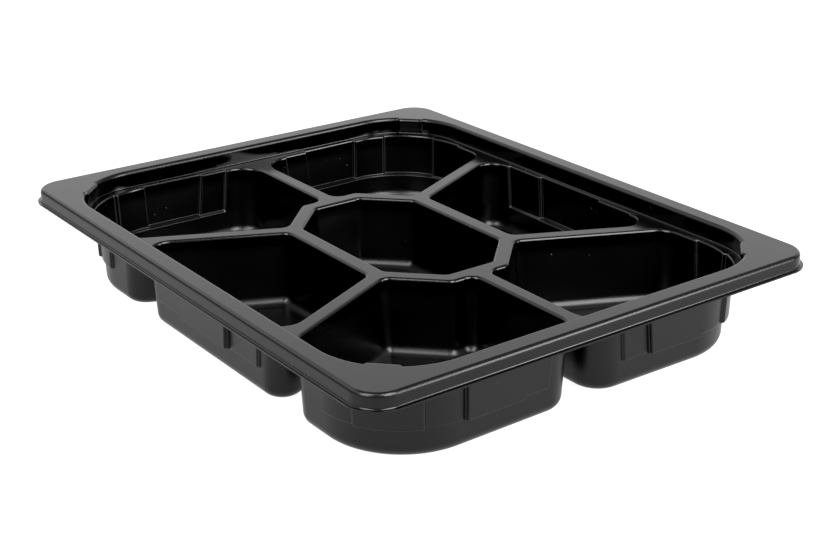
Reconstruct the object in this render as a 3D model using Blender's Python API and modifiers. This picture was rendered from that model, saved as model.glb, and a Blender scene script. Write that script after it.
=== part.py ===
"""Seven-compartment food tray, thermoformed from one sheet of black plastic.

Frame: X along the long side, Y along the short side, Z up, origin at the
middle of the underside, metres. The upper face of the sheet is built as one
open surface (rim, land with seven openings, seven pockets) and a Solidify
modifier gives the sheet its thickness below that face.
"""
import math

import bmesh
import bpy

MM = 0.001

# Driving dimensions of the tray, mm.
LENGTH = 325.0            # over the lip, along X
WIDTH = 265.0             # over the lip, along Y
HEIGHT = 48.5             # from the underside to the top of the rim
SHEET = 0.8               # thickness of the rim and the land
DRAWN_SHARE = 0.5         # of that thickness left in the pockets, where it is drawn
DRAWN_OVER = 10.0         # depth over which the sheet thins
LAND_DROP = 9.5           # from the top of the rim down to the land

# Rim, from the trimmed lip inwards.
LIP_CORNER = 16.0         # plan radius of the lip at the four corners
LIP_REACH = 1.5           # how far the lip stands out of the skirt
LIP_DROP = 6.8            # top of the rim down to the top of the lip
LIP_FILLET = 0.8
SKIRT_LEAN = 0.3          # the skirt leans out by this much at its foot
SHOULDER = 2.0            # rounding between the skirt and the rim's top
OPENING_INSET = 10.9      # lip edge to the inner edge of the rim's flat top
OPENING_CORNER = 43.0     # plan radius of that inner edge
INNER_FILLET = 2.0        # rounding from the flat top into the inner wall
LAND_FILLET = 0.5         # rounding between the inner wall and the land

# A denesting lug stands out of the inner wall in each corner of the opening.
LUG_REACH = 1.8           # at the top of the inner wall
LUG_HALF_ANGLE = 9.5      # degrees, seen from the corner's centre
LUG_STEP_ANGLE = 1.6      # degrees taken by each flank of a lug
LUG_FOOT = 0.5            # at the land
FOOT_CORNER = 39.0        # plan radius of the inner wall's foot

# Pockets: the outlines are those of the walls where they meet the land.
RIB_SIDE = (1.6, 3.5)     # walls along the ribs: width of the mouth rounding, draft in degrees
OUTER_SIDE = (0.9, 1.0)   # the same for the walls under the rim
MOUTH_DEPTH = 1.5         # depth of the rounding at the mouth
FLOOR_FILLET = 5.2
FLOOR_RING = 0.93         # size of a flat ring within each floor, against the floor
LEAST_CORNER_SHARE = 0.5  # share of a corner's plan radius left at the floor, at least
SIDE_END = 0.02           # share of a side kept free of pads at each end
MIDDLE_HALF_X = 58.4      # middle pocket, an octagon
MIDDLE_HALF_Y = 35.7
MIDDLE_CHAMFER_SUM = 72.3  # x + y along its slanting sides
RIB = 8.6                 # between two pockets' walls, across a rib
SIDE_START_Y = 45.2       # side pocket: its wall next to the middle pocket
SIDE_HALF_X = 50.15       # side pocket: half width at SLANT_Y
SLANT_Y = 75.0
SLANT = 0.478             # dx/dy of the slanting ribs
OUTER_WALL_X = 143.1      # outer walls of the pockets, where x is least
OUTER_WALL_TURN = 0.014   # dx/dy of the outer wall across X
OUTER_WALL_Y = 114.0
OUTER_CORNER = 41.0       # plan radius of the outer corner pockets

# Pads in the outer walls, which keep stacked trays apart.
PAD_DROP = 25.0           # land down to the foot of the pads
PAD_FOOT = 1.2            # height of the slope at the foot
PAD_FLANK = 1.2           # width of each upright flank
PAD_LOW = 1.4             # how far the shallow pads stand out
PAD_HIGH = 3.7            # how far the deep pads stand out
PAD_CORNER = 3.0          # how far the corner pads stand out

ARC_STEPS = 3             # segments of a small rounding in plan


def add_material(name, color, roughness):
    """Give the part its moulded black plastic."""
    material = bpy.data.materials.new(name)
    material.use_nodes = True
    shader = material.node_tree.nodes["Principled BSDF"]
    shader.inputs["Base Color"].default_value = (*color, 1.0)
    shader.inputs["Roughness"].default_value = roughness
    shader.inputs["Metallic"].default_value = 0.0
    return material


# ---------------------------------------------------------------- the rim

def corner_angles():
    """Angles of the points in one corner of every rim loop, in degrees."""
    inner = LUG_HALF_ANGLE
    outer = LUG_HALF_ANGLE + LUG_STEP_ANGLE
    return [0, 11, 23, 45 - outer, 45 - inner, 45, 45 + inner, 45 + outer, 67, 79, 90]


def rim_loop(inset, z, radius, lug=0.0):
    """A rounded rectangle; `lug` pulls the middle of each corner inwards."""
    half_x = LENGTH / 2 - inset
    half_y = WIDTH / 2 - inset
    points = []
    for turn, (sx, sy) in enumerate([(1, 1), (-1, 1), (-1, -1), (1, -1)]):
        cx = sx * (half_x - radius)
        cy = sy * (half_y - radius)
        for angle in corner_angles():
            away = abs(angle - 45)
            r = radius
            if lug and away <= LUG_HALF_ANGLE:
                r = (radius - lug) * math.cos(math.radians(LUG_HALF_ANGLE - away))
            a = math.radians(angle + 90 * turn)
            points.append((cx + r * math.cos(a), cy + r * math.sin(a), z))
    return points


def rim_loops():
    """The rim's section from the lip's edge in to the land, as loops."""
    top = HEIGHT
    lip_z = top - LIP_DROP
    skirt_foot = LIP_REACH
    skirt_head = LIP_REACH + SKIRT_LEAN
    loops = [(0.0, lip_z, LIP_CORNER, 0.0)]
    for degrees in (0, 90):
        a = math.radians(degrees)
        inset = skirt_foot - LIP_FILLET * (1 - math.sin(a))
        loops.append((inset, lip_z + LIP_FILLET * (1 - math.cos(a)), None, 0.0))
    for degrees in (0, 30, 60, 90):
        a = math.radians(degrees)
        inset = skirt_head + SHOULDER * (1 - math.cos(a))
        loops.append((inset, top - SHOULDER * (1 - math.sin(a)), None, 0.0))
    loops = [(i, z, LIP_CORNER - i, 0.0) for i, z, _, _ in loops]
    for degrees in (0, 30, 60, 90):
        a = math.radians(degrees)
        inset = OPENING_INSET + INNER_FILLET * math.sin(a)
        z = top - INNER_FILLET * (1 - math.cos(a))
        loops.append((inset, z, OPENING_CORNER - INNER_FILLET * math.sin(a), LUG_REACH))
    wall = OPENING_INSET + INNER_FILLET
    land = top - LAND_DROP
    loops.append((wall, land + LAND_FILLET, FOOT_CORNER, LUG_FOOT))
    loops.append((wall + LAND_FILLET, land, FOOT_CORNER - LAND_FILLET, LUG_FOOT))
    return [rim_loop(*loop) for loop in loops]


# ------------------------------------------------------------- the pockets

class Side:
    """One straight side of a pocket's outline, from a to b.

    `kind` is the width of the rounding at its mouth and its draft. `pads` are
    (start, end, low, high): places along the world axis `axis` and the reach
    of the wall at each.
    """

    def __init__(self, a, b, kind, axis=None, pads=()):
        self.a = a
        self.b = b
        self.mouth = kind[0]
        self.slope = math.tan(math.radians(kind[1]))
        self.axis = axis
        self.pads = pads
        length = math.dist(a, b)
        self.u = ((b[0] - a[0]) / length, (b[1] - a[1]) / length)
        self.n = (-self.u[1], self.u[0])

    def inward(self, level):
        return level["fillet"] + self.slope * level["drafted"] - self.mouth * level["mouth"]

    def at(self, t, inward):
        x = self.a[0] + self.u[0] * t + self.n[0] * inward
        y = self.a[1] + self.u[1] * t + self.n[1] * inward
        return (x, y)


def crossing(p, q, p_inward, q_inward):
    """Where side p meets side q, once each has moved inwards."""
    ax, ay = p.at(0.0, p_inward)
    bx, by = q.at(0.0, q_inward)
    det = p.u[0] * q.u[1] - p.u[1] * q.u[0]
    return p.at(((bx - ax) * q.u[1] - (by - ay) * q.u[0]) / det, p_inward)


def corner_arc(p, q, corner, level):
    """Points round the corner between sides p and q, pushed out by its pad.

    A corner that turns towards the pocket tightens as the walls come in, and
    one that turns away from it, round the middle pocket, grows.
    """
    radius, steps, reach = corner
    turn = p.u[0] * q.u[1] - p.u[1] * q.u[0]
    side = 1.0 if turn > 0 else -1.0
    widening = level["mouth"] * (p.mouth + q.mouth) / 2
    tightening = min(level["fillet"], radius * (1 - LEAST_CORNER_SHARE))
    radius += side * (widening - tightening)
    cx, cy = crossing(p, q, p.inward(level) + side * radius, q.inward(level) + side * radius)
    start = math.atan2(-side * p.n[1], -side * p.n[0])
    sweep = math.atan2(turn, p.u[0] * q.u[0] + p.u[1] * q.u[1])
    points = []
    for i in range(steps + 1):
        a = start + sweep * i / steps
        r = radius + reach(i / steps) * level["pads"]
        points.append((cx + r * math.cos(a), cy + r * math.sin(a)))
    return points


def side_points(side, head, tail, level):
    """Points where the pads of a side begin and end, moved out by the pads.

    The side's straight part runs from `head` to `tail`; places that would
    overrun it, low down where the corners have closed in, are squeezed in.
    """
    k = 0 if side.axis == "x" else 1
    places = []
    reaches = []
    for start, end, low, high in side.pads:
        places += [(start - head[k]) / (tail[k] - head[k]), (end - head[k]) / (tail[k] - head[k])]
        reaches += [low, high]
    if not places:
        return []
    first = max(places[0], SIDE_END)
    scale = (min(places[-1], 1 - SIDE_END) - first) / (places[-1] - places[0])
    start = (head[0] - side.a[0]) * side.u[0] + (head[1] - side.a[1]) * side.u[1]
    length = (tail[0] - head[0]) * side.u[0] + (tail[1] - head[1]) * side.u[1]
    points = []
    for place, reach in zip(places, reaches):
        t = start + length * (first + (place - places[0]) * scale)
        points.append(side.at(t, side.inward(level) - reach * level["pads"]))
    return points


def pocket_loop(sides, corners, level):
    """One level of a pocket: corner i lies between side i - 1 and side i."""
    arcs = [corner_arc(sides[i - 1], side, corners[i], level) for i, side in enumerate(sides)]
    points = []
    for i, side in enumerate(sides):
        points += arcs[i]
        points += side_points(side, arcs[i][-1], arcs[(i + 1) % len(sides)][0], level)
    return points


def flank_pads(levels):
    """Pad points of a side from (place, reach after it) pairs, in order.

    Each change of reach is an upright flank of width PAD_FLANK.
    """
    pads = []
    sign = 1 if levels[-1][0] > levels[0][0] else -1
    before = 0.0
    for place, after in levels:
        half = sign * PAD_FLANK / 2
        pads.append((place - half, place + half, before, after))
        before = after
    return tuple(pads)


def no_pad(t):
    return 0.0


def corner_pad(t):
    """Reach of the outer corner's pad along the arc, 0 to 1."""
    edge = 0.26
    return PAD_CORNER if edge < t < 1 - edge else PAD_LOW


def polygon_sides(corners, extras):
    """The sides of an outline; `extras` holds the outer walls' axes and pads."""
    sides = []
    for i, a in enumerate(corners):
        b = corners[(i + 1) % len(corners)]
        kind = OUTER_SIDE if i in extras else RIB_SIDE
        axis, pads = extras.get(i, (None, ()))
        sides.append(Side(a, b, kind, axis, pads))
    return sides


def middle_outline():
    """The octagon in the middle, anticlockwise."""
    x, y, s = MIDDLE_HALF_X, MIDDLE_HALF_Y, MIDDLE_CHAMFER_SUM
    corners = [(x, s - x), (s - y, y), (y - s, y), (-x, s - x),
               (-x, x - s), (y - s, -y), (s - y, -y), (x, x - s)]
    rounding = [(4.5, ARC_STEPS, no_pad)] * len(corners)
    return polygon_sides(corners, {}), rounding


def slant_x(y, half):
    return half + SLANT * (y - SLANT_Y)


def side_outline():
    """The pocket behind the middle one, on the +Y side, anticlockwise."""
    y0, y1 = SIDE_START_Y, OUTER_WALL_Y
    x0, x1 = slant_x(y0, SIDE_HALF_X), slant_x(y1, SIDE_HALF_X)
    corners = [(-x0, y0), (x0, y0), (x1, y1), (-x1, y1)]
    pads = flank_pads([(50.5, PAD_LOW), (24.5, PAD_HIGH), (-24.5, PAD_LOW), (-50.5, 0.0)])
    rounding = [(5.5, ARC_STEPS, no_pad)] * 2 + [(10.0, ARC_STEPS + 2, no_pad)] * 2
    return polygon_sides(corners, {2: ("x", pads)}), rounding


def corner_outline():
    """The pocket in the +X +Y corner, anticlockwise."""
    half_rib = RIB / 2
    inner_x = MIDDLE_HALF_X + RIB
    rib_sum = MIDDLE_CHAMFER_SUM + RIB * math.sqrt(2)
    slant_half = SIDE_HALF_X + RIB * math.hypot(1.0, SLANT)
    knee_y = (rib_sum - slant_half + SLANT * SLANT_Y) / (1 + SLANT)
    x1, y1 = OUTER_WALL_X, OUTER_WALL_Y
    corners = [(inner_x, half_rib), (x1, half_rib), (x1 + OUTER_WALL_TURN * y1, y1),
               (slant_x(y1, slant_half), y1), (rib_sum - knee_y, knee_y),
               (inner_x, rib_sum - inner_x)]
    short_pads = flank_pads([(20.5, PAD_LOW), (36.0, PAD_HIGH), (73.5, PAD_LOW)])
    long_pads = ((99.5 + PAD_FLANK / 2, 99.5 - PAD_FLANK / 2, PAD_LOW, 0.0),)
    extras = {1: ("y", short_pads), 2: ("x", long_pads)}
    rounding = [(6.0, ARC_STEPS, no_pad), (14.5, ARC_STEPS + 2, no_pad),
                (OUTER_CORNER, 8, corner_pad), (12.0, ARC_STEPS + 1, no_pad),
                (5.5, ARC_STEPS, no_pad), (5.5, 2, no_pad)]
    return polygon_sides(corners, extras), rounding


def pocket_level(depth, mouth=0.0, fillet=0.0, pads=0.0):
    """A level of a pocket: its depth below the land, the share of the mouth's
    rounding that lies ahead, the run of the floor's fillet so far, the height
    over which the wall has leaned in, and the share of the pads."""
    wall_end = HEIGHT - LAND_DROP - SHEET * DRAWN_SHARE - FLOOR_FILLET
    drafted = max(min(depth, wall_end) - MOUTH_DEPTH, 0.0)
    return {"depth": depth, "mouth": mouth, "fillet": fillet, "drafted": drafted, "pads": pads}


def pocket_levels():
    """From mouth to floor."""
    levels = []
    for degrees in (0, 45, 90):
        a = math.radians(degrees)
        levels.append(pocket_level(MOUTH_DEPTH * (1 - math.cos(a)), mouth=1 - math.sin(a), pads=1.0))
    levels.append(pocket_level(PAD_DROP - PAD_FOOT, pads=1.0))
    levels.append(pocket_level(PAD_DROP))
    floor = HEIGHT - LAND_DROP - SHEET * DRAWN_SHARE
    for degrees in (0, 45, 90):
        a = math.radians(degrees)
        depth = floor - FLOOR_FILLET * (1 - math.sin(a))
        levels.append(pocket_level(depth, fillet=FLOOR_FILLET * (1 - math.cos(a))))
    return levels


def shrink(points, scale):
    """The same outline, smaller about its middle, at the same height."""
    middle = [sum(values) / len(points) for values in zip(*points)]
    return [tuple(m + (p - m) * scale for p, m in zip(point, middle)) for point in points]


# ----------------------------------------------------------- putting together

def new_loop(mesh, points):
    return [mesh.verts.new((x * MM, y * MM, z * MM)) for x, y, z in points]


def bridge(mesh, upper, lower):
    """Quads between two loops of equal count; their winding is set later."""
    count = len(upper)
    for i in range(count):
        j = (i + 1) % count
        mesh.faces.new((upper[i], upper[j], lower[j], lower[i]))


def close_edges(mesh, loop):
    edges = []
    for i, vert in enumerate(loop):
        other = loop[(i + 1) % len(loop)]
        edge = mesh.edges.get((vert, other))
        edges.append(edge or mesh.edges.new((vert, other)))
    return edges


def add_pocket(mesh, sides, rounding, mirror):
    """Loft one pocket; returns its uppermost loop, which lies in the land."""
    land = HEIGHT - LAND_DROP
    sx, sy = mirror
    rings = []
    for level in pocket_levels():
        outline = pocket_loop(sides, rounding, level)
        rings.append([(sx * x, sy * y, land - level["depth"]) for x, y in outline])
    rings.append(shrink(rings[-1], FLOOR_RING))
    loops = [new_loop(mesh, ring) for ring in rings]
    for upper, lower in zip(loops, loops[1:]):
        bridge(mesh, upper, lower)
    bmesh.ops.triangle_fill(mesh, edges=close_edges(mesh, loops[-1]), use_beauty=True)
    return loops[0]


def build_tray():
    """The sheet's upper face as one open surface."""
    mesh = bmesh.new()
    loops = [new_loop(mesh, points) for points in rim_loops()]
    for outer, inner in zip(loops, loops[1:]):
        bridge(mesh, outer, inner)
    land_edges = close_edges(mesh, loops[-1])
    pockets = [(middle_outline(), (1, 1))]
    pockets += [(side_outline(), (1, sy)) for sy in (1, -1)]
    pockets += [(corner_outline(), (sx, sy)) for sx in (1, -1) for sy in (1, -1)]
    for (sides, rounding), mirror in pockets:
        mouth = add_pocket(mesh, sides, rounding, mirror)
        land_edges += close_edges(mesh, mouth)
    bmesh.ops.triangle_fill(mesh, edges=land_edges, use_beauty=True)
    bmesh.ops.recalc_face_normals(mesh, faces=mesh.faces)
    highest = max(mesh.faces, key=lambda face: face.calc_center_median().z)
    if highest.normal.z < 0:
        bmesh.ops.reverse_faces(mesh, faces=mesh.faces)
    data = bpy.data.meshes.new("tray")
    mesh.to_mesh(data)
    mesh.free()
    return data


def add_sheet_thickness(tray):
    """Thicken the sheet downwards, by less in the pockets than in the rim."""
    group = tray.vertex_groups.new(name="thickness")
    for vert in tray.data.vertices:
        depth = HEIGHT - LAND_DROP - vert.co.z / MM
        thinned = min(max(depth / DRAWN_OVER, 0.0), 1.0)
        group.add([vert.index], 1.0 - (1.0 - DRAWN_SHARE) * thinned, "REPLACE")
    solidify = tray.modifiers.new("sheet", "SOLIDIFY")
    solidify.thickness = SHEET * MM
    solidify.vertex_group = group.name
    solidify.offset = -1.0
    solidify.use_even_offset = True
    solidify.use_quality_normals = True


def main():
    for item in list(bpy.data.objects):
        bpy.data.objects.remove(item, do_unlink=True)
    collection = bpy.data.collections.new("compartment_food_tray")
    bpy.context.scene.collection.children.link(collection)
    tray = bpy.data.objects.new("tray", build_tray())
    collection.objects.link(tray)
    tray.data.materials.append(add_material("black_plastic", (0.012, 0.012, 0.013), 0.35))
    add_sheet_thickness(tray)
    tray.data.shade_smooth()
    tray.data.set_sharp_from_angle(angle=math.radians(40))


main()
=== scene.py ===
"""A black catering tray with seven pockets, drawn from one sheet of plastic.

The sheet's upper face is worked out as grids: the rim's section carried round
the tray, and each pocket's wall carried round its outline. The flat land
between them is filled in, and the sheet then gets its thickness. The tray's
lengths are in millimetres until its mesh is made.
"""

import math

import bmesh
import bpy
import numpy as np
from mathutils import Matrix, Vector


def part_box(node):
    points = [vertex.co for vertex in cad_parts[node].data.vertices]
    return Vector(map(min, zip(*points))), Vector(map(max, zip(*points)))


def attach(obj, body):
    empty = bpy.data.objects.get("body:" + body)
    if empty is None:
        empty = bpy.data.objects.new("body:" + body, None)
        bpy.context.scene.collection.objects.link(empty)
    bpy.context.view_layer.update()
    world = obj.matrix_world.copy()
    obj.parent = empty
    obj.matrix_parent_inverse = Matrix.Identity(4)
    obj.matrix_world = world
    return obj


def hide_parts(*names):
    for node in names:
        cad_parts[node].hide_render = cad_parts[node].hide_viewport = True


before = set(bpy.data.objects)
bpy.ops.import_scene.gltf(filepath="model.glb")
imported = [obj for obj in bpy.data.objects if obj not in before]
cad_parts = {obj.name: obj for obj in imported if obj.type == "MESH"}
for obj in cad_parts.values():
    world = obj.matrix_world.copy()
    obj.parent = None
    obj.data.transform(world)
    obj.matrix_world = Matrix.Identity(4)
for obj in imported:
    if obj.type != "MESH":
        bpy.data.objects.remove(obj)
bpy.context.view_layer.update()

# ------------------------------------------------------------------ the rim
# The rim is the undrawn edge of the black plastic sheet, bent down into a
# skirt that ends in a narrow cut lip. Round the inside it drops to the land,
# and in each corner a lug stands out of that wall for the next tray to rest on.

MM = 0.001
low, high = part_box("tray")
LENGTH = (high.x - low.x) / MM
WIDTH = (high.y - low.y) / MM
TOP = high.z / MM
LAND_DROP = 9.5           # rim's top down to the land between the pockets
LAND = TOP - LAND_DROP

LIP_CORNER = 16.0         # plan radius of the lip
LIP_REACH = 1.5           # lip's edge in to the foot of the skirt
LIP_DROP = 6.8            # rim's top down to the lip's upper face
LIP_FILLET = 0.8
LIP_STEPS = 6
SKIRT_LEAN = 0.3          # how far the skirt leans in from foot to head
SKIRT_GUARD = 0.02        # how far it leans in over the height GUARD
SHOULDER = 2.0            # fillet between the skirt and the flat top
OPENING_INSET = 10.9      # lip's edge in to the inner edge of the flat top
OPENING_CORNER = 43.0     # plan radius of that inner edge
INNER_FILLET = 2.0
FILLET_STEPS = 10
WALL_GUARD = 0.06         # share of the inner wall above its first line of points
WALL_LINES = 5            # lines of points down the inner wall
LAND_FILLET = 0.55
LAND_STEPS = 5
FOOT_CORNER = 39.0        # plan radius of the inner wall's foot
LUG_REACH = 1.8           # how far a lug stands out at the rim's top
LUG_FOOT = 0.4            # and at the land
LUG_HALF_ANGLE = 9.6      # degrees
LUG_FLANK_ANGLE = 1.7     # degrees taken by each side of a lug
HALF_CORNER = 45.0        # degrees from the middle of a corner to a side
LUG_STEPS = 3             # steps from the middle of a lug to its flank,
FLANK_STEPS = 7           # over the flank,
ARC_STEPS = 12            # and on to the side
RIM_PLACES = np.array([0.004, 0.25, 0.5, 0.75, 0.996])   # points along a side
SIDE_END = 0.01           # share of a side kept clear beside each corner
GUARD = 0.12              # a line of points this close keeps a flat face flat


def ease(t):
    """Goes from 0 to 1 with level ends: t squared times 3 minus 2 t."""
    t = np.clip(t, 0.0, 1.0)
    return t * t * (3.0 - 2.0 * t)


def quarter(radius, steps):
    """A quarter turn of a fillet: (run, drop) from level to upright."""
    a = np.linspace(0.0, math.pi / 2, steps + 1)
    return radius * np.sin(a), radius * (1.0 - np.cos(a))


def between(t):
    """Squeezes each row of places into the side, where the row overruns it."""
    first, last = t.min(axis=1, keepdims=True), t.max(axis=1, keepdims=True)
    start, end = np.maximum(first, SIDE_END), np.minimum(last, 1.0 - SIDE_END)
    return start + (t - first) * (end - start) / (last - first)


def carry(corners, inward, radius, arcs, sides):
    """Carries a section round a polygon with round corners.

    The polygon's sides move in by `inward`, one row for each side or one for
    all, at every level of the section.
    Corner k turns on the radius in row k of `radius`, about the point where
    its two sides, moved in by that radius too, would meet. `arcs` holds each
    corner's places along its arc, from 0 to 1, and the reach at each level
    by which a point stands out from it; `sides` does so for each side, with
    places from 0 to 1 or, given an axis, at coordinates along that axis.
    Returns points as (level, station, xy).
    """
    corners = np.asarray(corners, float)
    along = np.roll(corners, -1, axis=0) - corners
    along /= np.linalg.norm(along, axis=1)[:, None]
    normal = np.stack([-along[:, 1], along[:, 0]], axis=1)
    inward = np.broadcast_to(inward, (len(corners), np.shape(inward)[-1]))
    before, before_along = np.roll(normal, 1, axis=0), np.roll(along, 1, axis=0)
    cross = before_along[:, 0] * along[:, 1] - before_along[:, 1] * along[:, 0]
    sweep = np.arctan2(cross, (before_along * along).sum(axis=1))
    bend = np.sign(cross)
    likeness = (before * normal).sum(axis=1)
    start = np.arctan2(-bend * before[:, 1], -bend * before[:, 0])

    def arc(k, places, reach):
        move_before = inward[k - 1] + bend[k] * radius[k]
        move = inward[k] + bend[k] * radius[k]
        share_before = move_before - likeness[k] * move
        share = move - likeness[k] * move_before
        shares = np.stack([share_before, share], axis=1)
        centre = corners[k] + shares @ np.stack([before[k], normal[k]]) / (1.0 - likeness[k] ** 2)
        a = start[k] + sweep[k] * np.asarray(places)
        size = radius[k][:, None] + reach
        ring = np.stack([size * np.cos(a), size * np.sin(a)], axis=2)
        return centre[:, None, :] + ring

    pieces = []
    for k, (places, reach) in enumerate(arcs):
        pieces.append(arc(k, places, reach))
        after = (k + 1) % len(corners)
        head = arc(k, [1.0], 0.0)
        tail = arc(after, [0.0], 0.0)
        axis, places, reach = sides[k]
        t = places
        if axis is not None:
            span = tail[:, :, axis] - head[:, :, axis]
            t = between((places - head[:, :, axis]) / span)
        t = np.broadcast_to(t, (inward.shape[1], np.shape(t)[-1]))[..., None]
        out = np.broadcast_to(reach, t.shape[:2])[..., None]
        pieces.append(head + t * (tail - head) - out * normal[k])
    return np.concatenate(pieces, axis=1)


def raised(xy, height):
    """Gives each level of a flat grid its height: (level, station, xyz)."""
    z = np.broadcast_to(height[:, None, None], xy.shape[:2] + (1,))
    return np.concatenate([xy, z], axis=2)


def skirt_section():
    """Lip, skirt and flat top: inset from the lip's edge, and height."""
    lip = TOP - LIP_DROP
    run, drop = quarter(LIP_FILLET, LIP_STEPS)
    inset = [0.0, LIP_REACH - LIP_FILLET - GUARD, *(LIP_REACH - LIP_FILLET + run)]
    height = [lip, lip, *(lip + drop)]
    head = LIP_REACH + SKIRT_LEAN
    inset += [LIP_REACH + SKIRT_GUARD, head - SKIRT_GUARD]
    height += [height[-1] + GUARD, TOP - SHOULDER - GUARD]
    run, drop = quarter(SHOULDER, FILLET_STEPS)
    inset += list(head + SHOULDER - run[::-1])
    height += list(TOP - drop[::-1])
    inset += [inset[-1] + GUARD, OPENING_INSET - GUARD]
    height += [TOP, TOP]
    return inset, height


def wall_section():
    """The inner wall, from the flat top's inner edge to the land: inset,
    height and plan radius of the corner."""
    run, drop = quarter(INNER_FILLET, FILLET_STEPS)
    inset = list(OPENING_INSET + run)
    height = list(TOP - drop)
    corner = list(OPENING_CORNER - run)
    wall, head_corner = inset[-1], OPENING_CORNER - INNER_FILLET
    upright = LAND_DROP - INNER_FILLET - LAND_FILLET
    part = np.linspace(WALL_GUARD, 1.0, WALL_LINES)
    inset += [wall] * len(part)
    height += list(TOP - INNER_FILLET - upright * part)
    corner += list(head_corner + (FOOT_CORNER - head_corner) * part)
    run, drop = quarter(LAND_FILLET, LAND_STEPS)
    inset += list(wall + LAND_FILLET - run[::-1])[1:]
    height += list(LAND + drop[::-1])[1:]
    corner += list(FOOT_CORNER - LAND_FILLET + run[::-1])[1:]
    inset.append(inset[-1] + GUARD)
    height.append(LAND)
    corner.append(corner[-1] - GUARD)
    return inset, height, corner


def rim_section():
    """The rim from the lip's edge in to the land: inset, height, plan radius
    of the corner and reach of the lug, each as an array over the section."""
    inset, height = skirt_section()
    beside_opening = len(inset) - 1
    corner = list(LIP_CORNER - np.array(inset[:-1])) + [OPENING_CORNER + GUARD]
    wall_inset, wall_height, wall_corner = wall_section()
    inset = np.array(inset + wall_inset)
    height = np.array(height + wall_height)
    corner = np.array(corner + wall_corner)
    sunk = (TOP - height) / LAND_DROP
    lug = LUG_REACH + (LUG_FOOT - LUG_REACH) * ease(sunk)
    lug[:beside_opening] = 0.0
    return inset, height, corner, lug


def lug_reach(turn, corner, lug):
    """How far the rim's corner stands back at `turn` degrees from its middle.

    Across the lug the wall is a straight chord; on each flank it eases back
    to the round corner.
    """
    away = np.abs(turn)
    half = math.radians(LUG_HALF_ANGLE)
    bow = math.cos(half) / np.cos(np.minimum(np.radians(away), half))
    chord = (corner - lug)[:, None] * bow[None, :]
    share = 1.0 - ease((away - LUG_HALF_ANGLE) / LUG_FLANK_ANGLE)
    share = share * (lug > 0.0)[:, None]
    return (chord - corner[:, None]) * share


def rim_grid():
    """The rim's upper face, as (level, station, xyz)."""
    inset, height, corner, lug = rim_section()
    corners = np.array([(1, 1), (-1, 1), (-1, -1), (1, -1)]) * (LENGTH / 2, WIDTH / 2)
    face = np.linspace(0.0, LUG_HALF_ANGLE, LUG_STEPS + 1)[:-1]
    flank = LUG_HALF_ANGLE + LUG_FLANK_ANGLE * np.linspace(0.0, 1.0, FLANK_STEPS + 1)
    plain = np.linspace(flank[-1], HALF_CORNER, ARC_STEPS + 1)[1:]
    half = np.concatenate([face, flank, plain])
    turn = np.concatenate([-half[::-1], half[1:]])
    places = (turn + HALF_CORNER) / (2 * HALF_CORNER)
    arcs = [(places, lug_reach(turn, corner, lug))] * 4
    sides = [(None, RIM_PLACES, 0.0)] * 4
    return raised(carry(corners, inset, np.tile(corner, (4, 1)), arcs, sides), height)


# -------------------------------------------------------------- the pockets
# Seven pockets are drawn into the sheet, with ribs of the flat land left
# between them. Shallow pads in their outer walls, which run down most of the
# depth, keep stacked trays from jamming; below the pads the wall steps back.

RIB_SIDE = (1.6, 3.5)     # rounding at the mouth, draft in degrees
OUTER_SIDE = (0.9, 1.0)   # the same for the walls under the rim
MOUTH_DEPTH = 1.5         # how far down the rounding at the mouth goes
MOUTH_STEPS = 6
FLOOR = 0.4               # the floor's upper face above the table
FLOOR_FILLET = 5.2
FLOOR_RINGS = (0.997, 0.6)     # rings of points in the flat floor, against its size
PLAIN_PLACES = np.array([SIDE_END, 0.34, 0.67, 1.0 - SIDE_END])   # along a plain side

PAD_DEPTH = 25.0          # land down to the foot of the pads
PAD_FOOT = 1.4            # height in which a pad steps back at its foot
PAD_FOOT_STEPS = 8
PAD_FLANK = 1.2           # width of a pad's upright edge
PAD_LOW = 1.4             # how far the low pads stand out,
PAD_HIGH = 3.7            # the high ones,
PAD_CORNER = 3.0          # and the one in the round corner
PAD_NARROWING = 0.10      # how much each flank moves in per mm of depth
STEEP = 0.3               # share of a flank taken by each of its two steep halves
STEEP_STEPS = 6           # steps of the grid over each of them
FLANK_GUARD = 0.1         # share of a flank out to the points beside it
CORNER_PAD = 0.26         # where the corner's pad begins along the arc
CORNER_RISER = 0.022      # share of the arc taken by each edge of its pad
CORNER_GUARD = 0.01       # share of the arc between that edge and the points before it
CORNER_FACE = 0.03        # share from where that edge begins to the pad's even face
CORNER_BESIDE = 9         # points on either side of the corner's pad
CORNER_ACROSS = 18        # points across its face

RIB = 8.6                 # between two pockets' walls
MIDDLE_X = 58.4
MIDDLE_Y = 35.7
MIDDLE_SUM = 72.3         # x + y along the octagon's slanting sides
MIDDLE_CORNER = 4.5       # plan radius of the octagon's corners
MIDDLE_STEPS = 10         # steps round each of them

SIDE_START = 45.2
SIDE_HALF = 50.15         # half width of the side pocket at SLANT_Y
SLANT_Y = 75.0
SLANT = 0.478             # run of the slanting ribs in x for each mm in y
SIDE_CORNERS = (5.5, 5.5, 10.0, 10.0)     # plan radii
SIDE_STEPS = (10, 10, 14, 14)
# Where each pad of the outer wall begins, in x from right to left, and how far it stands out.
SIDE_PADS = ((50.5, PAD_LOW), (24.5, PAD_HIGH), (-24.5, PAD_LOW), (-50.5, 0.0))

OUTER_X = 143.1
OUTER_TURN = 0.014        # how much that wall moves out for each mm in y
OUTER_Y = 114.0
POCKET_CORNERS = (6.0, 14.5, 41.0, 12.0, 5.5, 5.5)     # plan radii
POCKET_STEPS = (10, 16, None, 14, 10, 7)     # the padded corner has its own
# The same for the short wall, in y from the middle out, and the long one, in x back inwards.
SHORT_PADS = ((20.5, PAD_LOW), (36.0, PAD_HIGH), (73.5, PAD_LOW))
LONG_PADS = ((99.5, 0.0),)


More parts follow.
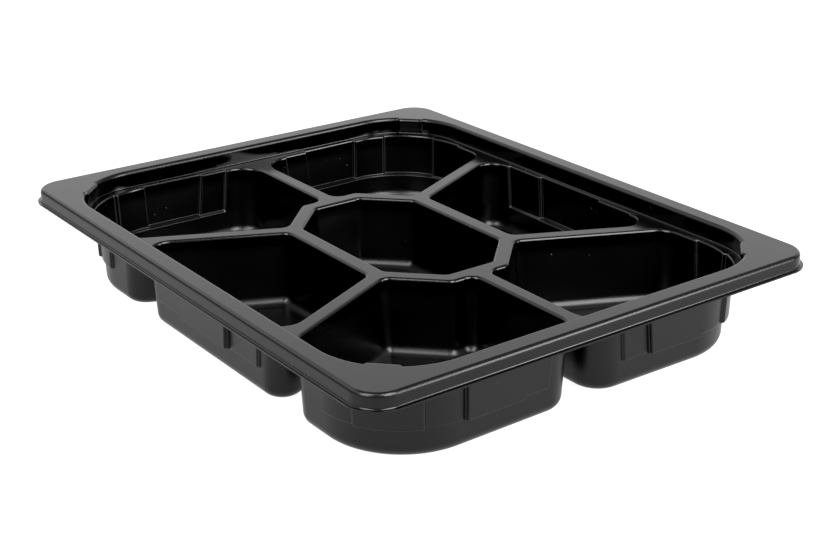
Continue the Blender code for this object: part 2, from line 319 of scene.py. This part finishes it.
def bends(corners):
    """+1 at each corner where the outline turns left, -1 where it turns right."""
    after = np.roll(corners, -1, axis=0) - corners
    before = np.roll(after, 1, axis=0)
    return np.sign(before[:, 0] * after[:, 1] - before[:, 1] * after[:, 0])


def pocket_section():
    """Depth below the land, share of the mouth's rounding still to come, run
    of the floor's fillet, height of draft and share of the pads, from the
    land beside the mouth to the floor."""
    run, drop = quarter(1.0, MOUTH_STEPS)
    turn, fall = quarter(FLOOR_FILLET, FILLET_STEPS)
    floor = LAND - FLOOR
    wall_end = floor - FLOOR_FILLET
    foot = PAD_DEPTH - PAD_FOOT * (1.0 - np.linspace(0.0, 1.0, PAD_FOOT_STEPS + 1))
    upper = [MOUTH_DEPTH + GUARD, (MOUTH_DEPTH + PAD_DEPTH) / 2, foot[0] - GUARD]
    wall = np.concatenate([upper, foot, [PAD_DEPTH + GUARD, wall_end - GUARD]])
    depth = np.concatenate([[0.0], MOUTH_DEPTH * drop, wall, floor - fall[::-1]])
    mouth = np.concatenate([[1.0 + GUARD], 1.0 - run, np.zeros(len(wall) + len(turn))])
    fillet = np.concatenate([np.zeros(len(depth) - len(turn)), FLOOR_FILLET - turn[::-1]])
    drafted = np.clip(depth, MOUTH_DEPTH, wall_end) - MOUTH_DEPTH
    share = 1.0 - ease((depth - foot[0]) / PAD_FOOT)
    return depth, mouth, fillet, drafted, share


def plain_side():
    """A side with no pads: points near both ends and between them."""
    return None, PLAIN_PLACES, 0.0


def riser(t):
    """Goes from 0 to 1 in two steep halves, with a narrow sill between them."""
    return 0.5 * ease(t / STEEP) + 0.5 * ease((t - 1.0 + STEEP) / STEEP)


def padded_side(axis, way, levels, depth, share, start_reach=0.0):
    """A side whose reach changes at each (place, reach beyond it).

    The change follows `riser` across the flank, and the flank leans towards
    the side that stands out further.
    """
    points = STEEP_STEPS + 1
    halves = [np.linspace(0.0, STEEP, points), np.linspace(1.0 - STEEP, 1.0, points)]
    flank = np.concatenate([[-FLANK_GUARD], *halves, [1.0 + FLANK_GUARD]])
    places, reaches = [], []
    reach = start_reach
    for place, beyond in levels:
        lean = way * PAD_NARROWING * math.copysign(1.0, beyond - reach)
        middle = place + lean * np.minimum(depth, PAD_DEPTH)
        places.append(middle[:, None] + way * PAD_FLANK * (flank - 0.5))
        reaches.append(reach + (beyond - reach) * riser(flank))
        reach = beyond
    reach = np.concatenate(reaches)
    return axis, np.concatenate(places, axis=1), reach[None, :] * share[:, None]


def round_corner(steps):
    """A plain round corner: even places along its arc."""
    return np.linspace(0.0, 1.0, steps + 1), 0.0


def padded_corner(share):
    """The round outer corner, with a pad across the middle of its arc."""
    first, last = CORNER_PAD, 1.0 - CORNER_PAD
    edge = np.linspace(0.0, CORNER_RISER, STEEP_STEPS + 1)
    before = np.linspace(0.0, first - CORNER_GUARD, CORNER_BESIDE)
    face = np.linspace(first + CORNER_FACE, last - CORNER_FACE, CORNER_ACROSS)
    after = np.linspace(last + CORNER_GUARD, 1.0, CORNER_BESIDE)
    t = np.concatenate([before, first + edge, face, last - edge[::-1], after])
    bulge = ease((t - first) / CORNER_RISER) * ease((last - t) / CORNER_RISER)
    reach = PAD_LOW + (PAD_CORNER - PAD_LOW) * bulge
    return t, reach[None, :] * share[:, None]


def pocket_grid(corners, radii, arcs, sides, kinds, section, mirror):
    """One pocket's upper face, as (level, station, xyz), with two rings of
    flat floor at its end. `kinds` holds each side's mouth and draft."""
    depth, mouth, fillet, drafted, _ = section
    opening = np.array([kind[0] for kind in kinds])[:, None] * mouth
    slope = np.tan(np.radians([kind[1] for kind in kinds]))[:, None]
    widening = (opening + np.roll(opening, 1, axis=0)) / 2
    radii = np.array(radii, float)[:, None]
    radius = radii + (widening - np.minimum(fillet, radii / 2)) * bends(corners)[:, None]
    inward = fillet + slope * drafted - opening
    grid = raised(carry(corners, inward, radius, arcs, sides), LAND - depth)
    middle = grid[-1].mean(axis=0)
    rings = [middle + (grid[-1] - middle) * size for size in FLOOR_RINGS]
    return np.concatenate([grid, rings], axis=0) * (*mirror, 1)


def middle_pocket():
    """The octagon in the middle."""
    x, y, s = MIDDLE_X, MIDDLE_Y, MIDDLE_SUM
    corners = [(x, s - x), (s - y, y), (y - s, y), (-x, s - x),
               (-x, x - s), (y - s, -y), (s - y, -y), (x, x - s)]
    arcs = [round_corner(MIDDLE_STEPS)] * 8
    return corners, [MIDDLE_CORNER] * 8, arcs, [plain_side()] * 8, [RIB_SIDE] * 8


def slant_x(y, half):
    """The slanting rib's edge: half its width at SLANT_Y, plus the slant."""
    return half + SLANT * (y - SLANT_Y)


def side_pocket(section):
    """A pocket on the long side, tapering towards the middle one."""
    depth, share = section[0], section[-1]
    x0, x1 = slant_x(SIDE_START, SIDE_HALF), slant_x(OUTER_Y, SIDE_HALF)
    corners = [(-x0, SIDE_START), (x0, SIDE_START), (x1, OUTER_Y), (-x1, OUTER_Y)]
    long = padded_side(0, -1, SIDE_PADS, depth, share)
    sides = [plain_side(), plain_side(), long, plain_side()]
    arcs = [round_corner(steps) for steps in SIDE_STEPS]
    return corners, SIDE_CORNERS, arcs, sides, [RIB_SIDE, RIB_SIDE, OUTER_SIDE, RIB_SIDE]


def corner_pocket(section):
    """A pocket in a corner of the tray, wrapped round the middle one."""
    depth, share = section[0], section[-1]
    inner_x = MIDDLE_X + RIB
    rib_sum = MIDDLE_SUM + RIB * math.sqrt(2)
    half = SIDE_HALF + RIB * math.hypot(1.0, SLANT)
    knee_y = (rib_sum - half + SLANT * SLANT_Y) / (1 + SLANT)
    corners = [(inner_x, RIB / 2), (OUTER_X, RIB / 2), (OUTER_X + OUTER_TURN * OUTER_Y, OUTER_Y),
               (slant_x(OUTER_Y, half), OUTER_Y), (rib_sum - knee_y, knee_y),
               (inner_x, rib_sum - inner_x)]
    short = padded_side(1, 1, SHORT_PADS, depth, share)
    long = padded_side(0, -1, LONG_PADS, depth, share, start_reach=PAD_LOW)
    sides = [plain_side(), short, long, plain_side(), plain_side(), plain_side()]
    arcs = [round_corner(steps) if steps else padded_corner(share) for steps in POCKET_STEPS]
    kinds = [RIB_SIDE, OUTER_SIDE, OUTER_SIDE, RIB_SIDE, RIB_SIDE, RIB_SIDE]
    return corners, POCKET_CORNERS, arcs, sides, kinds


# ----------------------------------------------------------- the whole sheet
# Rim, pockets and the land between them are one sheet of black
# polypropylene, warmed and drawn over a mould. It is thinner and duller where
# it was drawn down into the pockets, and has a painted highlight along their creases.

SHEET = 0.8               # thickness in the rim and the land
DRAWN_SHARE = 0.5         # what is left of it in the pockets,
DRAWN_OVER = 10.0         # from this far below the land
CREASE_FROM = 0.015       # 1 minus the cosine of the turn where a crease begins
CREASE_TO = 0.06          # and where it is at its sharpest
SHARP_ANGLE = 50.0        # degrees; an edge that turns further, as at the cut lip, stays sharp


def tray_grids():
    """The grid of the rim, then those of the seven pockets."""
    section = pocket_section()
    grids = [rim_grid(), pocket_grid(*middle_pocket(), section, (1, 1))]
    for sy in (1, -1):
        grids.append(pocket_grid(*side_pocket(section), section, (1, sy)))
        for sx in (1, -1):
            grids.append(pocket_grid(*corner_pocket(section), section, (sx, sy)))
    return grids


def grid_quads(levels, stations, first):
    """Corners of the quads of a grid that closes on itself along stations."""
    here = first + np.arange(levels * stations).reshape(levels, stations)
    beside = np.roll(here, -1, axis=1)
    return np.stack([here[:-1], beside[:-1], beside[1:], here[1:]], axis=2).reshape(-1, 4)


def creases(grid):
    """From 0 to 1, how sharply each row of the grid turns at each point."""
    step = np.roll(grid, -1, axis=1) - grid
    step = step / np.linalg.norm(step, axis=2, keepdims=True)
    turn = 1.0 - (step * np.roll(step, 1, axis=1)).sum(axis=2)
    return np.clip((turn - CREASE_FROM) / (CREASE_TO - CREASE_FROM), 0.0, 1.0)


def fill_land(mesh, rings):
    """Fills the land between rings of points, and turns all faces up."""
    work = bmesh.new()
    work.from_mesh(mesh)
    work.verts.ensure_lookup_table()
    edges = []
    for ring in rings:
        for a, b in zip(ring.tolist(), np.roll(ring, -1).tolist()):
            edges.append(work.edges.get((work.verts[a], work.verts[b])))
    bmesh.ops.triangle_fill(work, edges=edges, use_beauty=True)
    bmesh.ops.recalc_face_normals(work, faces=work.faces)
    highest = max(work.faces, key=lambda face: face.calc_center_median().z)
    if highest.normal.z < 0:
        bmesh.ops.reverse_faces(work, faces=work.faces)
    work.to_mesh(mesh)
    work.free()


def sheet_mesh():
    """The sheet's upper face, with the sharpness of the pockets' creases, from which their painted
    highlight is made.

    The rim's grid ends at the land and a pocket's begins there, so these
    rings of points are what the land is filled in between.
    """
    points, quads, floors, rings, crease = [], [], [], [], []
    first = 0
    for number, grid in enumerate(tray_grids()):
        levels, stations = grid.shape[:2]
        points.append(grid.reshape(-1, 3))
        quads.append(grid_quads(levels, stations, first))
        start = np.arange(first, first + stations)
        end = start + (levels - 1) * stations
        if number == 0:
            rings.append(end)
            crease.append(np.zeros(levels * stations))
        else:
            rings.append(start)
            floors.append(end.tolist())
            crease.append(creases(grid).ravel())
        first += levels * stations
    mesh = bpy.data.meshes.new("tray_sheet")
    mesh.from_pydata(np.concatenate(points) * MM, [], np.concatenate(quads).tolist() + floors)
    mesh.attributes.new("crease", "FLOAT", "POINT")
    mesh.attributes["crease"].data.foreach_set("value", np.concatenate(crease).astype(np.float32))
    fill_land(mesh, rings)
    return mesh


def thicken(sheet):
    """Gives the sheet its thickness below the upper face, and applies it.

    The points of the lower face follow those of the upper one, and have
    their crease values, and so the painted crease highlight, taken away.
    """
    place = np.empty(len(sheet.data.vertices) * 3)
    sheet.data.vertices.foreach_get("co", place)
    depth = LAND - place[2::3] / MM
    weight = 1.0 - (1.0 - DRAWN_SHARE) * np.clip(depth / DRAWN_OVER, 0.0, 1.0)
    group = sheet.vertex_groups.new(name="thickness")
    for value in np.unique(weight):
        group.add(np.flatnonzero(weight == value).tolist(), float(value), "REPLACE")
    solidify = sheet.modifiers.new("sheet", "SOLIDIFY")
    solidify.thickness = SHEET * MM
    solidify.vertex_group = group.name
    solidify.offset = -1.0
    solidify.use_even_offset = True
    solidify.use_quality_normals = True
    bpy.context.view_layer.update()
    seen = sheet.evaluated_get(bpy.context.evaluated_depsgraph_get())
    solid = bpy.data.meshes.new_from_object(seen)
    crease = np.empty(len(solid.vertices), np.float32)
    solid.attributes["crease"].data.foreach_get("value", crease)
    crease[len(sheet.data.vertices):] = 0.0
    solid.attributes["crease"].data.foreach_set("value", crease)
    sheet.modifiers.clear()
    sheet.data = solid
    solid.shade_smooth()
    solid.set_sharp_from_angle(angle=math.radians(SHARP_ANGLE))


BLACK = 0.0003
PLASTIC_IOR = 1.4
TOP_ROUGHNESS = 0.17      # the sheet's own gloss, kept in the rim
DRAWN_ROUGHNESS = 0.31    # where the sheet was stretched over the mould
BEND_ROUGHNESS = 0.08     # what the shoulder at the rim's outer edge gains,
BEND_START = 0.5          # in full from this far below the rim's top
BEND_FADE = 3.0           # and nothing from here down
DRIFT_PER_M = 60.0        # slow change of gloss
DRIFT_DETAIL = 3.0
ROUGHNESS_DRIFT = 0.05
GRAIN_PER_M = 1100.0      # grain left by the mould
GRAIN_DETAIL = 2.0
GRAIN_HEIGHT = 0.00002    # metres
SWELL_PER_M = 16.0        # slow unevenness of the sheet
SWELL_DETAIL = 1.0
SWELL_HEIGHT = 0.00012    # metres
DUST_PER_M = 230.0        # cells, of which DUST_CELLS hold a speck
DUST_CELLS = 0.10
DUST_SIZE = 0.045         # a speck's radius in those cells
# grey of the dust specks, and of the painted highlight along the creases
DUST_AND_HIGHLIGHT_GREY = 0.16
CREASE_HIGHLIGHT = 0.08        # how far the painted highlight lifts a sharp crease towards DUST_AND_HIGHLIGHT_GREY


def add_node(tree, kind, **settings):
    """Adds a node to a material, with its settings."""
    made = tree.nodes.new(kind)
    for key, value in settings.items():
        setattr(made, key, value)
    return made


def calculate(tree, operation, *values):
    """A Math node on numbers and on other nodes' outputs."""
    made = add_node(tree, "ShaderNodeMath", operation=operation)
    for socket, value in zip(made.inputs, values):
        if isinstance(value, float):
            socket.default_value = value
        else:
            tree.links.new(value, socket)
    return made.outputs["Value"]


def fade(tree, value, start, end, before=0.0, after=1.0):
    """Eases from `before` to `after` while the value goes from start to end."""
    made = add_node(tree, "ShaderNodeMapRange", interpolation_type="SMOOTHSTEP")
    made.inputs["From Min"].default_value = start
    made.inputs["From Max"].default_value = end
    made.inputs["To Min"].default_value = before
    made.inputs["To Max"].default_value = after
    tree.links.new(value, made.inputs["Value"])
    return made.outputs["Result"]


def noise(tree, place, scale, detail):
    """Cloudy noise, from 0 to 1, with `scale` clouds to the metre."""
    made = add_node(tree, "ShaderNodeTexNoise")
    made.inputs["Scale"].default_value = scale
    made.inputs["Detail"].default_value = detail
    tree.links.new(place, made.inputs["Vector"])
    return made.outputs["Fac"]


def plastic_roughness(tree, place):
    """Glossy in the rim and duller with depth and on the rim's shoulder, with
    a slow drift."""
    split = add_node(tree, "ShaderNodeSeparateXYZ")
    tree.links.new(place, split.inputs["Vector"])
    height = split.outputs["Z"]
    drawn = fade(tree, height, LAND * MM, (LAND - DRAWN_OVER) * MM, TOP_ROUGHNESS, DRAWN_ROUGHNESS)
    cloud = noise(tree, place, DRIFT_PER_M, DRIFT_DETAIL)
    drift = calculate(tree, "MULTIPLY_ADD", cloud, ROUGHNESS_DRIFT, -ROUGHNESS_DRIFT / 2)
    under_top = fade(tree, height, TOP * MM, (TOP - BEND_START) * MM)
    over_skirt = fade(tree, height, (TOP - BEND_FADE) * MM, (TOP - SHOULDER) * MM)
    bend = calculate(tree, "MULTIPLY", under_top, over_skirt)
    bend = calculate(tree, "MULTIPLY", bend, BEND_ROUGHNESS)
    roughness = calculate(tree, "ADD", drawn, drift)
    return calculate(tree, "ADD", roughness, bend)


def dust_specks(tree, place):
    """1 in the middles of a few cells picked by their random colour, else 0."""
    cells = add_node(tree, "ShaderNodeTexVoronoi")
    cells.inputs["Scale"].default_value = DUST_PER_M
    tree.links.new(place, cells.inputs["Vector"])
    tint = add_node(tree, "ShaderNodeSeparateColor")
    tree.links.new(cells.outputs["Color"], tint.inputs["Color"])
    chosen = calculate(tree, "LESS_THAN", tint.outputs["Red"], DUST_CELLS)
    near = calculate(tree, "LESS_THAN", cells.outputs["Distance"], DUST_SIZE)
    return calculate(tree, "MULTIPLY", chosen, near)


def plastic_colour(tree, dust):
    """Black, with a painted highlight along the creases and grey in specks of dust."""
    crease = add_node(tree, "ShaderNodeAttribute", attribute_name="crease")
    # Painted highlight: the sharper a crease, the paler its colour, standing in for light caught
    # along it.
    painted_highlight = calculate(tree, "MULTIPLY", crease.outputs["Fac"], CREASE_HIGHLIGHT)
    colour = add_node(tree, "ShaderNodeMix", data_type="RGBA")
    colour.inputs["A"].default_value = (BLACK, BLACK, BLACK, 1.0)
    colour.inputs["B"].default_value = (DUST_AND_HIGHLIGHT_GREY, DUST_AND_HIGHLIGHT_GREY, DUST_AND_HIGHLIGHT_GREY, 1.0)
    tree.links.new(calculate(tree, "MAXIMUM", painted_highlight, dust), colour.inputs["Factor"])
    return colour.outputs["Result"]


def plastic_normal(tree, place):
    """The slow swell of the sheet, with the mould's fine grain on it."""
    swell = add_node(tree, "ShaderNodeBump")
    swell.inputs["Distance"].default_value = SWELL_HEIGHT
    tree.links.new(noise(tree, place, SWELL_PER_M, SWELL_DETAIL), swell.inputs["Height"])
    grain = add_node(tree, "ShaderNodeBump")
    grain.inputs["Distance"].default_value = GRAIN_HEIGHT
    tree.links.new(noise(tree, place, GRAIN_PER_M, GRAIN_DETAIL), grain.inputs["Height"])
    tree.links.new(swell.outputs["Normal"], grain.inputs["Normal"])
    return grain.outputs["Normal"]


def black_plastic():
    """Black polypropylene: smooth and semi-gloss in the rim, finely grained
    and duller in the pockets, with a painted highlight along the creases and a few specks of dust."""
    material = bpy.data.materials.new("black_plastic")
    material.use_nodes = True
    tree = material.node_tree
    shader = tree.nodes["Principled BSDF"]
    shader.inputs["IOR"].default_value = PLASTIC_IOR
    place = add_node(tree, "ShaderNodeTexCoord").outputs["Object"]
    dust = dust_specks(tree, place)
    roughness = calculate(tree, "MAXIMUM", plastic_roughness(tree, place), dust)
    tree.links.new(plastic_colour(tree, dust), shader.inputs["Base Color"])
    tree.links.new(roughness, shader.inputs["Roughness"])
    tree.links.new(plastic_normal(tree, place), shader.inputs["Normal"])
    return material


tray = bpy.data.objects.new("tray_sheet", sheet_mesh())
bpy.context.scene.collection.objects.link(tray)
thicken(tray)
tray.data.materials.append(black_plastic())
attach(tray, "root")
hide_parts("tray")

# ---------------------------------------------------------- the lit floor
# The tray stands on a large sheet of white acrylic, lit from below, so that
# it stays white under the tray. The light under it ends in front of the tray,
# where the sheet falls off to grey.

FLOOR_SIZE = 12.0         # metres, as all lengths from here on
ACRYLIC = 0.18
ACRYLIC_ROUGHNESS = 0.9
ACRYLIC_SHINE = 0.1
WHITE = (1.0, 1.0, 1.0, 1.0)
GLOW = 0.65               # radiance of the lit floor, where full white is 1
SEEN_GLOW = 0.3           # what it gains where it is looked at directly
FRONT = -37.22            # degrees, the way the front of the tray and floor faces
LIT_TO = 0.33             # from the tray's middle to where the light ends
LIT_FADE = 0.22
FRONT_GLOW = 0.3          # share of the glow left in front of that


def lit_acrylic():
    """White acrylic that glows from below and fades out towards FRONT."""
    material = bpy.data.materials.new("white_floor")
    material.use_nodes = True
    tree = material.node_tree
    shader = tree.nodes["Principled BSDF"]
    shader.inputs["Base Color"].default_value = (ACRYLIC, ACRYLIC, ACRYLIC, 1.0)
    shader.inputs["Roughness"].default_value = ACRYLIC_ROUGHNESS
    shader.inputs["Specular IOR Level"].default_value = ACRYLIC_SHINE
    shader.inputs["Emission Color"].default_value = WHITE
    place = add_node(tree, "ShaderNodeTexCoord").outputs["Object"]
    forward = add_node(tree, "ShaderNodeVectorMath", operation="DOT_PRODUCT")
    front = math.radians(FRONT)
    forward.inputs[1].default_value = (math.cos(front), math.sin(front), 0.0)
    tree.links.new(place, forward.inputs[0])
    lit = fade(tree, forward.outputs["Value"], LIT_TO, LIT_TO + LIT_FADE, 1.0, FRONT_GLOW)
    seen = add_node(tree, "ShaderNodeLightPath").outputs["Is Camera Ray"]
    glow = calculate(tree, "MULTIPLY_ADD", seen, SEEN_GLOW, GLOW)
    tree.links.new(calculate(tree, "MULTIPLY", glow, lit), shader.inputs["Emission Strength"])
    return material


def white_floor():
    """A flat square, with the material `lit_acrylic`."""
    half = FLOOR_SIZE / 2
    mesh = bpy.data.meshes.new("floor")
    outline = [(-half, -half, 0), (half, -half, 0), (half, half, 0), (-half, half, 0)]
    mesh.from_pydata(outline, [], [(0, 1, 2, 3)])
    mesh.materials.append(lit_acrylic())
    floor = bpy.data.objects.new("floor", mesh)
    bpy.context.scene.collection.objects.link(floor)
    return floor


white_floor()

# ------------------------------------------------------- room and soft lights
# A softbox hangs on either side of the camera, and a tall strip light stands
# further right. Lit white walls behind the tray and to its left show in the
# flat plastic; the rest of the room is an even grey.

ROOM = 0.42               # radiance of the room, where full white is 1


def panel(name, azimuth, elevation, distance, size, radiance):
    """A rectangular light that faces the tray.

    `azimuth` and `elevation`, in degrees, are where its middle stands, seen
    from the tray. A light of power P and area A has the radiance P / (pi A).
    """
    width, height = size
    data = bpy.data.lights.new(name, "AREA")
    data.shape = "RECTANGLE"
    data.size = width
    data.size_y = height
    data.energy = radiance * math.pi * width * height
    light = bpy.data.objects.new(name, data)
    bpy.context.scene.collection.objects.link(light)
    turn, lift = math.radians(azimuth), math.radians(elevation)
    way = Vector((math.cos(lift) * math.cos(turn), math.cos(lift) * math.sin(turn), math.sin(lift)))
    light.location = distance * way
    light.rotation_euler = way.to_track_quat("Z", "Y").to_euler()


world = bpy.data.worlds.new("room")
bpy.context.scene.world = world
world.use_nodes = True
world.node_tree.nodes["Background"].inputs["Color"].default_value = WHITE
world.node_tree.nodes["Background"].inputs["Strength"].default_value = ROOM
panel("right_softbox", azimuth=4.0, elevation=44.0, distance=1.6, size=(0.85, 1.3), radiance=13.0)
panel("right_strip", azimuth=37.0, elevation=12.0, distance=3.0, size=(0.75, 2.2), radiance=14.0)
panel("left_softbox", azimuth=-76.0, elevation=46.0, distance=1.6, size=(0.75, 1.4), radiance=9.0)
panel("back_wall", azimuth=140.0, elevation=15.0, distance=3.0, size=(6.0, 3.4), radiance=0.82)
panel("left_wall", azimuth=-145.0, elevation=42.0, distance=3.0, size=(3.0, 1.8), radiance=1.3)

# --------------------------------------------------------------- the camera
# A full-frame camera stands off the tray's front corner and looks down on it.
# Its picture has a plain response, with the deepest shadows cut to black.

CAMERA_PLACE = (0.5948, -0.4251, 0.2695 + TOP * MM)
LOOKING_DOWN = 22.60      # degrees
LENS = 65.55              # millimetres, on a sensor as wide as SENSOR
SENSOR = 36.0
SHIFT = (-0.0302, 0.0011)
NEAREST = 0.01
DEEPEST = 0.0025          # darkest radiance that the picture still tells from black

camera_data = bpy.data.cameras.new("camera")
camera_data.lens = LENS
camera_data.sensor_width = SENSOR
camera_data.shift_x, camera_data.shift_y = SHIFT
camera_data.clip_start = NEAREST
camera = bpy.data.objects.new("camera", camera_data)
bpy.context.scene.collection.objects.link(camera)
camera.location = CAMERA_PLACE
camera.rotation_euler = (math.radians(90.0 - LOOKING_DOWN), 0.0, math.radians(90.0 + FRONT))
bpy.context.scene.camera = camera
picture = bpy.context.scene.view_settings
picture.view_transform = "Standard"
picture.use_curve_mapping = True
picture.curve_mapping.black_level = (DEEPEST, DEEPEST, DEEPEST)
